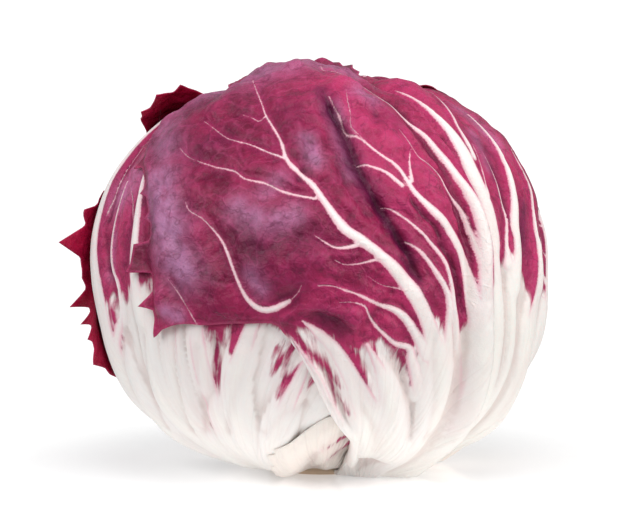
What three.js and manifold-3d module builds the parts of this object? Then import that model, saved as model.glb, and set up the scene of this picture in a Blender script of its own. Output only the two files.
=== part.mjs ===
// A head of round red radicchio, standing on the cut face of its stem.
// Units are millimetres, +Z is up, and the origin is the centre of the stem's cut face.
//
// Every leaf is a thin cupped sheet wrapped round one shared centre. A leaf's two faces are closed
// surfaces over the same directions from that centre, and its outline cuts the sheet out of the
// space between them. The leaves are laid one on another from the inside out, as they grow: each
// one rests on whatever lies below it, so no two of them share any space.

import * as THREE from "three";
import { mergeVertices } from "three/addons/utils/BufferGeometryUtils.js";
import Module from "manifold-3d";

const wasm = await Module();
wasm.setup();

// Driving dimensions of the head.
const HEAD_WIDTH = 131;
const HEAD_DEPTH = 126;
const HEAD_HEIGHT = 116.5;
const FOOT_FLATNESS = 2.3; // exponent of the lower half: 2 is an ellipse, more is fuller
const STEM_RADIUS = 15;

// The wrapped leaves.
const LEAF_GAP = 0.35;
const BLADE_THICKNESS = 1.2;
const BASE_THICKNESS = 1.6;
const WRAP_DEPTH = 3; // how far under the head's outside the wrapper leaves start
const WRAP_FOOT = 12.6; // height above the ground at which the wrapper leaves' bases start
const WRAP_DETAIL = 6;
const TOUCH_ANGLE = 9.5; // degrees: a little more than one edge of the wrapper leaves' triangles

// The packed leaves inside the wrappers.
const PACKED_LEAVES = 11;
const PACKED_OUTER_RADIUS = 58;
const PACKED_PITCH = 4.05;
const PACKED_THICKNESS = 2.6;
const PACKED_FOOT = 14; // height above the ground of the outermost packed leaf's base
const PACKED_FOOT_PITCH = 3.05;
const GOLDEN_ANGLE = 137.5; // degrees from one leaf to the next round the stem
const HEART_RADIUS = 12.5;

const CENTRE_HEIGHT = HEAD_HEIGHT / 2;
const CENTRE = new THREE.Vector3(0, 0, CENTRE_HEIGHT);
const FAR = 6 * HEAD_WIDTH;
const OUTLINE_STEPS = 72;
const UP = new THREE.Vector3(0, 0, 1);

const radians = THREE.MathUtils.degToRad;
const smoothstep = THREE.MathUtils.smoothstep;

// The direction at an azimuth and an elevation, in degrees. Azimuth 0 faces the front, -Y, and 90 faces +X.
function direction(azimuth, elevation) {
  const a = radians(azimuth);
  const e = radians(elevation);
  return new THREE.Vector3(
    Math.sin(a) * Math.cos(e),
    -Math.cos(a) * Math.cos(e),
    Math.sin(e),
  );
}

// Distance from the centre to the outside of the whole head along a unit direction.
function headRadius(d) {
  const level = Math.hypot(d.x / (HEAD_WIDTH / 2), d.y / (HEAD_DEPTH / 2));
  const rise = Math.abs(d.z) / (HEAD_HEIGHT / 2);
  const power = d.z < 0 ? FOOT_FLATNESS : 2;
  return 1 / Math.pow(Math.pow(level, power) + Math.pow(rise, power), 1 / power);
}

// A radius kept from reaching below a height above the ground.
function keptAbove(radius, d, height) {
  return d.z < 0 ? Math.min(radius, (CENTRE_HEIGHT - height) / -d.z) : radius;
}

// The shared directions of one level of detail, with each vertex's neighbours.
function directionGrid(detail) {
  const geometry = new THREE.IcosahedronGeometry(1, detail);
  geometry.deleteAttribute("normal");
  geometry.deleteAttribute("uv");
  const merged = mergeVertices(geometry, 1e-5);
  const position = merged.getAttribute("position");
  const directions = [];
  for (let i = 0; i < position.count; i++) {
    directions.push(new THREE.Vector3().fromBufferAttribute(position, i).normalize());
  }
  const triangles = Array.from(merged.index.array);
  const neighbours = directions.map(() => new Set());
  for (let i = 0; i < triangles.length; i += 3) {
    for (let k = 0; k < 3; k++) {
      neighbours[triangles[i + k]].add(triangles[i + ((k + 1) % 3)]);
      neighbours[triangles[i + k]].add(triangles[i + ((k + 2) % 3)]);
    }
  }
  return { directions, triangles, neighbours };
}

function solidOf(points, triangles) {
  return new wasm.Manifold(
    new wasm.Mesh({
      numProp: 3,
      vertProperties: new Float32Array(points.flatMap((p) => [p.x, p.y, p.z])),
      triVerts: new Uint32Array(triangles),
    }),
  );
}

// The solid inside a closed surface round the centre, from its radius in each direction of a grid.
function roundSolid(grid, radii) {
  const points = grid.directions.map((d, i) => d.clone().multiplyScalar(radii[i]).add(CENTRE));
  return solidOf(points, grid.triangles);
}

// A closed outline of unit directions, drawn smoothly through a few of them.
function outlineThrough(corners) {
  const points = corners.map(([azimuth, elevation]) => direction(azimuth, elevation));
  const curve = new THREE.CatmullRomCurve3(points, true, "centripetal");
  return curve.getSpacedPoints(OUTLINE_STEPS).slice(0, OUTLINE_STEPS).map((p) => p.normalize());
}

// The cone from the head's centre through an outline, which cuts a leaf out of a wrapped sheet.
function coneThrough(outline, middle) {
  const n = outline.length;
  const ring = outline.map((d) => d.clone().multiplyScalar(FAR).add(CENTRE));
  const points = [CENTRE.clone(), middle.clone().multiplyScalar(FAR).add(CENTRE), ...ring];
  const turn = new THREE.Vector3();
  outline.forEach((d, i) => turn.add(d.clone().cross(outline[(i + 1) % n])));
  const forward = turn.dot(middle) > 0;
  const triangles = [];
  for (let i = 0; i < n; i++) {
    const here = 2 + i;
    const next = 2 + ((i + 1) % n);
    const [a, b] = forward ? [here, next] : [next, here];
    triangles.push(0, b, a, 1, a, b);
  }
  return solidOf(points, triangles);
}

function geometryOf(solid) {
  const mesh = solid.getMesh();
  const positions = new Float32Array(mesh.numVert * 3);
  for (let i = 0; i < mesh.numVert; i++) {
    const from = i * mesh.numProp;
    positions.set(mesh.vertProperties.subarray(from, from + 3), i * 3);
  }
  const geometry = new THREE.BufferGeometry();
  geometry.setAttribute("position", new THREE.BufferAttribute(positions, 3));
  geometry.setIndex(new THREE.BufferAttribute(new Uint32Array(mesh.triVerts), 1));
  geometry.computeVertexNormals();
  return geometry;
}

// The largest body of a solid: room cut for the stem can leave a crumb at a leaf's base.
function largestBody(solid) {
  const bodies = solid.decompose();
  return bodies.reduce((best, body) => (body.volume() > best.volume() ? body : best));
}

// The stem: a short stalk cut off flat, drawn out to a cone inside the head.
const STEM_PROFILE = [
  [0, 0],
  [STEM_RADIUS - 0.8, 0],
  [STEM_RADIUS, 0.8],
  [STEM_RADIUS - 0.5, 6],
  [STEM_RADIUS - 4, 14],
  [7, 26],
  [4, 38],
  [0, CENTRE_HEIGHT - HEART_RADIUS - 2],
];
const STEM_SIDES = 28;

function stemGeometry(grow) {
  const profile = STEM_PROFILE.map(([r, z], i) => {
    const top = i === STEM_PROFILE.length - 1;
    const foot = i < 2;
    const radius = i === 0 || top ? r : r + grow;
    return new THREE.Vector2(radius, top ? z + grow : foot ? z - grow : z);
  });
  const geometry = new THREE.LatheGeometry(profile, STEM_SIDES);
  geometry.rotateX(Math.PI / 2);
  geometry.deleteAttribute("normal");
  geometry.deleteAttribute("uv");
  return mergeVertices(geometry, 1e-3);
}

function stemSolid(grow) {
  const geometry = stemGeometry(grow);
  return new wasm.Manifold(
    new wasm.Mesh({
      numProp: 3,
      vertProperties: geometry.getAttribute("position").array,
      triVerts: new Uint32Array(geometry.index.array),
    }),
  );
}

const stemRoom = stemSolid(LEAF_GAP);

const FINISHES = {
  stem: { color: 0xe9dfcf, roughness: 0.7, metalness: 0 },
  wrapper: { color: 0x8a1f4c, roughness: 0.42, metalness: 0 },
  packed: { color: 0xb0446f, roughness: 0.5, metalness: 0 },
  stub: { color: 0xe9dcd6, roughness: 0.55, metalness: 0 },
};

const head = new THREE.Group();

function addPiece(name, geometry, finish) {
  const mesh = new THREE.Mesh(geometry, new THREE.MeshStandardMaterial(FINISHES[finish]));
  mesh.name = name;
  head.add(mesh);
}

// A wrapper leaf: the middle that its outline runs round, the outline's corners as azimuth and
// elevation, and the places where its margin curls out: towards where, within how many degrees,
// and how far, in millimetres.
const WRAPPERS = [
  {
    name: "leaf_back",
    middle: [178, 8],
    corners: [
      [150, -77], [130, -48], [120, -5], [124, 38], [142, 66],
      [-160, 76], [-128, 60], [-122, 28], [-124, -12], [-142, -50], [-165, -77],
    ],
  },
  {
    name: "leaf_far_right",
    middle: [102, 5],
    corners: [
      [74, -77], [58, -50], [50, -15], [54, 20], [62, 48],
      [92, 68], [130, 62], [150, 32], [152, -8], [142, -48], [128, -77],
    ],
  },
  {
    name: "leaf_left",
    middle: [-48, -2],
    corners: [
      [-14, -77], [10, -52], [20, -22], [14, 14], [-8, 42],
      [-45, 62], [-88, 64], [-110, 44], [-114, 10], [-110, -25], [-90, -52], [-72, -77],
    ],
  },
  {
    name: "leaf_right",
    middle: [62, 15],
    corners: [
      [42, -77], [36, -44], [33, -8], [34, 22], [34, 50], [40, 74],
      [100, 76], [98, 52], [86, 28], [76, 8], [68, -10], [72, -42], [86, -77],
    ],
  },
  {
    name: "leaf_back_right",
    middle: [138, 25],
    corners: [
      [114, -77], [108, -46], [102, -5], [98, 30], [84, 56], [50, 71],
      [-5, 77], [-70, 82], [-150, 76], [178, 52], [174, 12], [168, -36], [164, -77],
    ],
    lifts: [{ towards: [-10, 78], within: 16, height: 3 }],
  },
  {
    name: "leaf_left_back",
    middle: [-140, 8],
    corners: [
      [-104, -77], [-98, -44], [-92, -18], [-92, 6], [-95, 30], [-92, 52],
      [-108, 70], [-175, 74], [170, 48], [168, 8], [176, -38], [-170, -77],
    ],
    lifts: [
      { towards: [-86, 4], within: 24, height: 8 },
      { towards: [-88, 56], within: 15, height: 6 },
    ],
  },
  {
    name: "stub_right",
    middle: [101, -55],
    finish: "stub",
    corners: [
      [84, -77], [80, -54], [84, -42], [100, -37], [116, -42], [122, -56], [118, -77],
    ],
  },
  {
    name: "stub_front",
    middle: [-4, -56],
    finish: "stub",
    corners: [
      [-34, -76], [-26, -62], [-22, -52], [-13, -46], [-4, -41], [4, -37], [13, -40],
      [20, -52], [26, -76],
    ],
  },
  {
    name: "leaf_front",
    middle: [0, 20],
    corners: [
      [8, -77], [5, -42], [-4, -20], [-14, -9], [-33, -10], [-53, -13], [-58, 4],
      [-56, 18], [-68, 32], [-82, 48], [-92, 64], [-50, 80], [30, 79],
      [50, 68], [51, 52], [47, 34], [44, 15], [43, -6], [46, -30], [52, -54], [60, -77],
    ],
  },
];

function buildWrappers() {
  const grid = directionGrid(WRAP_DETAIL);
  // Radius of the top of the leaves laid so far, in each direction.
  const top = grid.directions.map((d) => keptAbove(headRadius(d) - WRAP_DEPTH, d, WRAP_FOOT));
  const touchCosine = Math.cos(radians(TOUCH_ANGLE));
  for (const leaf of WRAPPERS) {
    const middle = direction(...leaf.middle);
    const outline = outlineThrough(leaf.corners);
    const samples = leafSamples(outline, middle);
    const lift = liftOf(leaf.lifts ?? []);
    const inner = grid.directions.map((d, i) => {
      const around = [...grid.neighbours[i]];
      const mean = around.reduce((sum, n) => sum + top[n], 0) / around.length;
      return Math.max(top[i], mean) + LEAF_GAP + lift(d);
    });
    const outer = inner.map((r, i) => {
      const towardsFoot = smoothstep(-grid.directions[i].z, 0.1, 0.8);
      return r + THREE.MathUtils.lerp(BLADE_THICKNESS, BASE_THICKNESS, towardsFoot);
    });
    const solid = roundSolid(grid, outer)
      .intersect(coneThrough(outline, middle))
      .subtract(roundSolid(grid, inner))
      .subtract(stemRoom);
    addPiece(leaf.name, geometryOf(largestBody(solid)), leaf.finish ?? "wrapper");
    grid.directions.forEach((d, i) => {
      if (samples.some((s) => s.dot(d) > touchCosine)) top[i] = outer[i];
    });
  }
}

// Directions spread over a leaf, from its middle out to its outline.
function leafSamples(outline, middle) {
  const steps = 12;
  const samples = [];
  for (const edge of outline) {
    for (let k = 0; k <= steps; k++) {
      samples.push(middle.clone().lerp(edge, k / steps).normalize());
    }
  }
  return samples;
}

// How far a leaf stands off the leaves below it in a direction, from the places where it curls out.
function liftOf(lifts) {
  const places = lifts.map((lift) => ({ ...lift, centre: direction(...lift.towards) }));
  return (d) =>
    places.reduce((sum, { centre, within, height }) => {
      const angle = THREE.MathUtils.radToDeg(d.angleTo(centre));
      return sum + height * (1 - smoothstep(angle, 0, within));
    }, 0);
}

// The leaves packed inside the wrappers: cupped sheets of one shape, each a size smaller than the
// last and turned on round the stem, down to the closed heart on the stem's tip.
const PACKED_CORNERS = [
  [-14, -78], [-50, -46], [-68, -8], [-62, 28], [-38, 56],
  [0, 68], [38, 56], [62, 28], [68, -8], [50, -46], [14, -78],
];
const PACKED_MIDDLE = [0, 2];
const PACKED_DETAILS = { large: 4, small: 3 };

function scaledRadii(grid, radius, foot) {
  return grid.directions.map((d) =>
    keptAbove((headRadius(d) * radius) / (HEAD_WIDTH / 2), d, foot),
  );
}

function buildPacked() {
  const large = directionGrid(PACKED_DETAILS.large);
  const small = directionGrid(PACKED_DETAILS.small);
  for (let i = 0; i < PACKED_LEAVES; i++) {
    const radius = PACKED_OUTER_RADIUS - i * PACKED_PITCH;
    const foot = PACKED_FOOT + i * PACKED_FOOT_PITCH;
    const lining = [radius - PACKED_THICKNESS, foot + PACKED_THICKNESS];
    const grid = i < PACKED_LEAVES / 2 ? large : small;
    const turn = radians(i * GOLDEN_ANGLE);
    const outline = outlineThrough(PACKED_CORNERS).filter((_, k) => k % 2 === 0);
    outline.forEach((d) => d.applyAxisAngle(UP, turn));
    const middle = direction(...PACKED_MIDDLE).applyAxisAngle(UP, turn);
    const solid = roundSolid(grid, scaledRadii(grid, radius, foot))
      .intersect(coneThrough(outline, middle))
      .subtract(roundSolid(grid, scaledRadii(grid, ...lining)))
      .subtract(stemRoom);
    addPiece(`packed_leaf_${String(i + 1).padStart(2, "0")}`, geometryOf(solid), "packed");
  }
}

addPiece("stem", stemGeometry(0), "stem");
buildPacked();
const heartGrid = directionGrid(3);
const heartRadii = scaledRadii(heartGrid, HEART_RADIUS, PACKED_FOOT);
addPiece("heart", geometryOf(roundSolid(heartGrid, heartRadii)), "packed");
buildWrappers();

export default head;
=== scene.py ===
import math

import bpy
import numpy as np
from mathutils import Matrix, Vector, geometry, kdtree, noise


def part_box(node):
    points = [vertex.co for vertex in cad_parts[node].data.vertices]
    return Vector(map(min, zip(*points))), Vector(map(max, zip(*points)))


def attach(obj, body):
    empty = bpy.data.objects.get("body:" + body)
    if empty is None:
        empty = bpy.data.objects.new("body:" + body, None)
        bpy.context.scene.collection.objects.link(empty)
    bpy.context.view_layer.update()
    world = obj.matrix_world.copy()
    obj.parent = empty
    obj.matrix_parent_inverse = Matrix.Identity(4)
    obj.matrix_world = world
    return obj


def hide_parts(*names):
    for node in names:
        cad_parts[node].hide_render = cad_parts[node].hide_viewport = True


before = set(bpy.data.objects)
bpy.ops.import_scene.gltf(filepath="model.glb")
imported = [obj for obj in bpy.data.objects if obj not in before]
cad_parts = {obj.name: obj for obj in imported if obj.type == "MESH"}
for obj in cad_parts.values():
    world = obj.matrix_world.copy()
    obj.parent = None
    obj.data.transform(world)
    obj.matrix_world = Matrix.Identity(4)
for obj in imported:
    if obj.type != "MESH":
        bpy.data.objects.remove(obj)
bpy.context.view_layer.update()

# ---------------------------------------------------------------------------------------------
# The stem: the short stalk that every leaf grows from, cut off flat under the head. It is pale,
# wet flesh with a ring of harder strands, and it browns where the knife went through.

MM = 0.001
stem_low, stem_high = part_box("stem")
STEM_RADIUS = (stem_high[0] - stem_low[0]) / 2
STEM_STEPS = (  # height in millimetres and share of the full radius, from the cut face up
    (0.35, 0.965),
    (1.0, 1.0),
    (6.0, 0.965),
    (14.0, 0.73),
    (26.0, 0.46),
    (38.0, 0.26),
    (43.0, 0.08),
)

bpy.ops.object.select_all(action="DESELECT")
bpy.ops.mesh.primitive_circle_add(vertices=64, radius=STEM_RADIUS * 0.94, fill_type="NGON")
stalk = bpy.context.object
stalk.name = "cut_stem"
bpy.ops.object.mode_set(mode="EDIT")
bpy.ops.mesh.select_all(action="SELECT")
height, share = 0.0, 0.94
for next_height, next_share in STEM_STEPS:
    step = (0, 0, (next_height - height) * MM)
    bpy.ops.mesh.extrude_region_move(TRANSFORM_OT_translate={"value": step})
    grow = next_share / share
    bpy.ops.transform.resize(value=(grow, grow, 1))
    height, share = next_height, next_share
bpy.ops.mesh.select_all(action="SELECT")
bpy.ops.mesh.normals_make_consistent(inside=False)
bpy.ops.object.mode_set(mode="OBJECT")
bpy.ops.object.shade_smooth_by_angle(angle=math.radians(40))
bpy.ops.object.transform_apply(location=True, rotation=True, scale=True)

cut = bpy.data.materials.new("cut_stalk")
cut.use_nodes = True
nodes, links = cut.node_tree.nodes, cut.node_tree.links
skin = nodes["Principled BSDF"]
skin.inputs["Roughness"].default_value = 0.6
skin.inputs["Subsurface Weight"].default_value = 0.1
skin.inputs["Subsurface Radius"].default_value = (1.0, 0.6, 0.4)
skin.inputs["Subsurface Scale"].default_value = 0.002
place = nodes.new("ShaderNodeTexCoord")
spread = nodes.new("ShaderNodeVectorMath")
spread.operation = "MULTIPLY"
spread.inputs[1].default_value = (1, 1, 0)
reach = nodes.new("ShaderNodeVectorMath")
reach.operation = "LENGTH"
rings = nodes.new("ShaderNodeMapRange")
rings.inputs["From Max"].default_value = STEM_RADIUS
fibres = nodes.new("ShaderNodeTexNoise")
fibres.inputs["Scale"].default_value = 420
fibres.inputs["Detail"].default_value = 6
blur = nodes.new("ShaderNodeMath")
blur.operation = "MULTIPLY_ADD"
blur.inputs[1].default_value = 0.22
tone = nodes.new("ShaderNodeValToRGB")
tone.color_ramp.elements[0].position = 0.0
tone.color_ramp.elements[0].color = (0.72, 0.58, 0.40, 1)
tone.color_ramp.elements[1].position = 1.0
tone.color_ramp.elements[1].color = (0.60, 0.45, 0.32, 1)
for position, colour in (
    (0.45, (0.80, 0.70, 0.52, 1)),
    (0.62, (0.58, 0.40, 0.24, 1)),
    (0.72, (0.78, 0.66, 0.50, 1)),
    (0.95, (0.70, 0.56, 0.42, 1)),
):
    tone.color_ramp.elements.new(position).color = colour
grainy = nodes.new("ShaderNodeBump")
grainy.inputs["Distance"].default_value = 0.0004
grainy.inputs["Strength"].default_value = 0.6
links.new(place.outputs["Object"], spread.inputs[0])
links.new(spread.outputs[0], reach.inputs[0])
links.new(reach.outputs["Value"], rings.inputs["Value"])
links.new(place.outputs["Object"], fibres.inputs["Vector"])
links.new(fibres.outputs["Fac"], blur.inputs[0])
links.new(rings.outputs[0], blur.inputs[2])
links.new(blur.outputs[0], tone.inputs["Fac"])
links.new(tone.outputs["Color"], skin.inputs["Base Color"])
links.new(fibres.outputs["Fac"], grainy.inputs["Height"])
links.new(grainy.outputs["Normal"], skin.inputs["Normal"])
stalk.data.materials.append(cut)
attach(stalk, "root")
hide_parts("stem")

# ---------------------------------------------------------------------------------------------
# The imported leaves: the smaller leaves inside the head, one cupped over the next round the
# closed heart. All leaves are one kind of sheet: white ribs that fan out from the base, with a
# wine-red blade between them. Each grows out of the stem and rests on the leaf under it.

HALF_WIDTH, HALF_DEPTH, HALF_HEIGHT = 65.5, 63.0, 58.25
CENTRE = np.array((0.0, 0.0, HALF_HEIGHT))
ROUND = 60.0  # millimetres of leaf for each radian round the head's centre
CELL = 1.1  # size of one cell in the record of what is laid already
LEAF_GAP = 0.2
VEIN_SEARCH = 14  # how far from a vein or a stain its distance is worked out
TUCK, TUCK_WIDTH = 7, 15  # how far a margin bends down to the leaf under it, and over what width
LOOSE_BASE = (9, 24)  # distances from the base between which the tuck sets in
RIM_DROP, RIM_WIDTH = 0.4, 2
RIB_WHITE, RIB_EDGE = 0.46, 0.16  # white half of a rib for its width, less a narrow edge
RIB_HEIGHT, RIB_SWELL = 0.46, 0.8  # a rib's height for its width, and the power it grows with
FOLD_EDGE = 0.55  # half the width over which one side of a fold changes to the other
FLUTES_BEGIN, FLUTES_END = (8, 22), (55, 88)  # distances from the base
FLESHY_BASE = (15, 60)  # distances from the base between which the flesh thins out
LOWEST = 0.5  # nothing of a leaf is nearer to the ground
EVEN_STEPS, FINE_STEP = 60, 7  # rounds of evening out that find broad and small hollows

laid = []


def toward(places):
    """Unit vectors from the head's centre to places given as azimuth and elevation in degrees."""
    a, e = np.radians(np.asarray(places, float)).T
    return np.stack((np.sin(a) * np.cos(e), -np.cos(a) * np.cos(e), np.sin(e)), axis=1)


def unit(v):
    return v / np.linalg.norm(v, axis=-1, keepdims=True)


def smoothstep(low, high, x):
    t = np.clip((x - low) / (high - low), 0, 1)
    return t * t * (3 - 2 * t)


def leaf_axes(middle):
    """The directions across a leaf, up it and out of it, at its middle."""
    a, e = np.radians(middle)
    across = (math.cos(a), math.sin(a), 0)
    up = (-math.sin(a) * math.sin(e), math.cos(a) * math.sin(e), math.cos(e))
    out = (math.sin(a) * math.cos(e), -math.cos(a) * math.cos(e), math.sin(e))
    return np.array((across, up, out))


def flattened(d, axes):
    """Where directions fall on the leaf when it is laid out flat, in millimetres."""
    x, y, z = (d @ axes.T).T
    stretch = ROUND * np.arccos(np.clip(z, -1, 1)) / np.maximum(np.hypot(x, y), 1e-9)
    return np.stack((x * stretch, y * stretch), axis=1)


def wrapped(p, axes):
    """The directions of points on the flat leaf: flattened undone."""
    far = np.hypot(p[:, 0], p[:, 1])
    s = np.sin(far / ROUND) / np.maximum(far, 1e-9)
    return np.stack((p[:, 0] * s, p[:, 1] * s, np.cos(far / ROUND)), axis=1) @ axes


def line_through(places, step=0.9, closed=False):
    """Directions at even steps along a smooth line through a few places."""
    p = toward(places) if np.shape(places)[1] == 2 else np.asarray(places)
    if closed:
        p = np.concatenate((p[-1:], p, p[:2]))
    else:
        p = np.concatenate((2 * p[:1] - p[1:2], p, 2 * p[-1:] - p[-2:-1]))
    t = np.linspace(0, 1, 14, endpoint=False)[:, None]
    parts = []
    for a, b, c, d in zip(p, p[1:], p[2:], p[3:]):
        parts.append(
            b + 0.5 * t * (c - a + t * (2 * a - 5 * b + 4 * c - d + t * (3 * (b - c) + d - a)))
        )
    parts.append(parts[0][:1] if closed else p[-2:-1])
    line = unit(np.concatenate(parts))
    run = np.concatenate(((0,), np.cumsum(np.linalg.norm(np.diff(line, axis=0), axis=1))))
    count = max(3, int(run[-1] * ROUND / step) + 1)
    even = np.linspace(0, run[-1], count)
    line = unit(np.stack([np.interp(even, run, line[:, k]) for k in range(3)], axis=1))
    return line[:-1] if closed else line


def nearest(d, line, reach):
    """How far each direction is from a line in millimetres, where along it, and on which side.

    Along goes from 0 to 1, and the side is 1 on the line's left as seen from outside the head.
    """
    away = np.full(len(d), 999.0)
    along = np.zeros(len(d))
    side = np.ones(len(d))
    middle = unit(line.mean(axis=0))
    spread = np.arccos(np.clip((line @ middle).min(), -1, 1)) + reach / ROUND
    close = np.flatnonzero(d @ middle > math.cos(min(spread, math.pi)))
    if len(close):
        near, a = d[close], line[:-1]
        ab = line[1:] - a
        size = (ab * ab).sum(axis=1)
        run = near @ ab.T - (a * ab).sum(axis=1)
        t = np.clip(run / size, 0, 1)
        gap = 2 - 2 * near @ a.T - 2 * t * run + t * t * size
        k = gap.argmin(axis=1)
        rows = np.arange(len(close))
        away[close] = ROUND * np.sqrt(np.maximum(gap[rows, k], 0))
        along[close] = (k + t[rows, k]) / len(a)
        ways = unit(ab)
        bends = np.concatenate((ways[:1], ways[:-1] + ways[1:], ways[-1:]))
        at = t[rows, k][:, None]
        way = np.where(at <= 0, bends[k], np.where(at >= 1, bends[k + 1], ways[k]))
        turn = np.einsum("ij,ij->i", np.cross(way, near - a[k] - at * ab[k]), near)
        side[close] = np.where(turn < 0, -1.0, 1.0)
    return away, along, side


def spaced(places, values, along):
    """Values given at a line's places, or at even steps along it, read anywhere along it."""
    at = np.linspace(0, 1, len(values))
    if len(values) == len(places) and np.shape(places)[1] == 2:
        steps = np.linalg.norm(np.diff(toward(places), axis=0), axis=1)
        at = np.concatenate(((0,), np.cumsum(steps))) / steps.sum()
    return np.interp(along, at, values)


def head_radius(d):
    """Distance from the head's centre to its outside, fuller in the lower half."""
    level = np.hypot(d[:, 0] / HALF_WIDTH, d[:, 1] / HALF_DEPTH)
    rise = np.abs(d[:, 2]) / HALF_HEIGHT
    power = np.where(d[:, 2] < 0, 2.35, 2.0)
    return (level**power + rise**power) ** (-1 / power)


def above(radius, d, height):
    """A radius cut back so that it stays above a height over the ground."""
    down = np.maximum(-d[:, 2], 1e-6)
    return np.where(d[:, 2] < 0, np.minimum(radius, (HALF_HEIGHT - height) / down), radius)


def laid_radius(d):
    """Radius of the outside of the leaves laid so far, and 0 where there is none."""
    top = np.zeros(len(d))
    for axes, corner, heights in laid:
        facing = np.flatnonzero(d @ axes[2] > -0.75)
        cell = np.floor((flattened(d[facing], axes) - corner) / CELL).astype(int)
        for i in (0, 1):
            for j in (0, 1):
                at = cell + (i, j)
                ok = ((at >= 0) & (at < heights.shape)).all(axis=1)
                rows = facing[ok]
                top[rows] = np.maximum(top[rows], heights[at[ok, 0], at[ok, 1]])
    return top


def neighbours(grid):
    padded = np.pad(grid, 1, mode="edge")
    x, y = grid.shape
    return np.stack([padded[i : i + x, j : j + y] for i in range(3) for j in range(3)])


def inside(p, outline):
    """Which points of the flat leaf lie inside its outline."""
    found = np.zeros(len(p), bool)
    for (ax, ay), (bx, by) in zip(outline, np.roll(outline, -1, axis=0)):
        if ay != by:
            crossed = (ay > p[:, 1]) != (by > p[:, 1])
            found ^= crossed & (p[:, 0] < ax + (bx - ax) * (p[:, 1] - ay) / (by - ay))
    return found


def waves(points, size, seed):
    """Smooth noise between about -1 and 1, with waves of the given size in millimetres."""
    shift = Vector((seed * 7.31, seed * 3.77, seed * 5.19))
    return np.array([noise.noise(Vector(p) / size + shift) for p in points.tolist()])


def toothed(outline, axes, tips, arcs, seed):
    """The flat outline with its pointed teeth: at known tips, and a run of them in each arc."""
    flat = flattened(outline, axes)
    after = np.roll(flat, -1, axis=0)
    area = (flat[:, 0] * after[:, 1] - after[:, 0] * flat[:, 1]).sum()
    run = np.concatenate(((0,), np.cumsum(np.linalg.norm(after - flat, axis=1))))
    total = run[-1]
    run = run[:-1]
    tangent = after - np.roll(flat, 1, axis=0)
    tangent /= np.linalg.norm(tangent, axis=1, keepdims=True)
    outward = np.stack((tangent[:, 1], -tangent[:, 0]), axis=1) * (1 if area > 0 else -1)
    random = np.random.default_rng(seed)
    teeth = []
    for azimuth, elevation, half in tips:
        tip = flattened(toward([(azimuth, elevation)]), axes)[0]
        at = np.linalg.norm(flat - tip, axis=1).argmin()
        teeth.append((run[at], tip - flat[at], half))
    for start, end, depth in arcs:
        first, last = (
            np.linalg.norm(flat - flattened(toward([q]), axes)[0], axis=1).argmin()
            for q in (start, end)
        )
        length = (run[last] - run[first]) % total
        s = 2.0
        while s < length - 2:
            width = random.uniform(3.6, 7.6)
            at = int(np.searchsorted(run, (run[first] + s + width / 2) % total)) % len(flat)
            tall = depth * random.uniform(0.45, 1.2) * width / 6
            lean = tangent[at] * random.uniform(-1.8, 1.8)
            teeth.append((run[at], outward[at] * tall + lean, width / 2))
            s += width
    moved = flat.copy()
    for at, push, half in teeth:
        gap = np.abs((run - at + total / 2) % total - total / 2)
        moved += np.clip(1 - gap / half, 0, 1)[:, None] ** 1.1 * push
    return moved


def leaf_points(outline, lines, axes, grain):
    """Points and triangles that fill a flat outline, with edges along the leaf's veins."""
    kept = [Vector(p) for p in outline.tolist()]
    edges = []
    for line in lines:
        flat = flattened(line, axes)
        ok = inside(flat, outline)
        ok &= np.array([np.hypot(*(outline - p).T).min() > grain * 0.7 for p in flat])
        previous = None
        for p, good in zip(flat.tolist(), ok):
            if good:
                kept.append(Vector(p))
                if previous is not None:
                    edges.append((previous, len(kept) - 1))
                previous = len(kept) - 1
            else:
                previous = None
    tree = kdtree.KDTree(len(kept))
    for i, p in enumerate(kept):
        tree.insert(p.to_3d(), i)
    tree.balance()
    low, high = outline.min(axis=0), outline.max(axis=0)
    xs = np.arange(low[0], high[0], grain)
    rows = []
    for n, y in enumerate(np.arange(low[1], high[1], grain * 0.866)):
        rows.append(np.stack((xs + (n % 2) * grain / 2, np.full(len(xs), y)), axis=1))
    fill = np.concatenate(rows)
    fill = fill[inside(fill, outline)]
    kept += [Vector(p) for p in fill.tolist() if tree.find((p[0], p[1], 0))[2] > grain * 0.55]
    ring = [list(range(len(outline)))]
    points, _, triangles, _, _, _ = geometry.delaunay_2d_cdt(kept, edges, ring, 1, 1e-5)
    return np.array([p[:] for p in points]), np.array([t for t in triangles if len(t) == 3])


def patches(d, soft):
    """How strongly each direction is in soft patches, each of them (places, width, strength)."""
    found = np.zeros(len(d))
    for places, width, strength in soft:
        away = nearest(d, line_through(places), 3 * width)[0]
        found = np.maximum(found, strength * np.exp(-((away / width) ** 2)))
    return found


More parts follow.
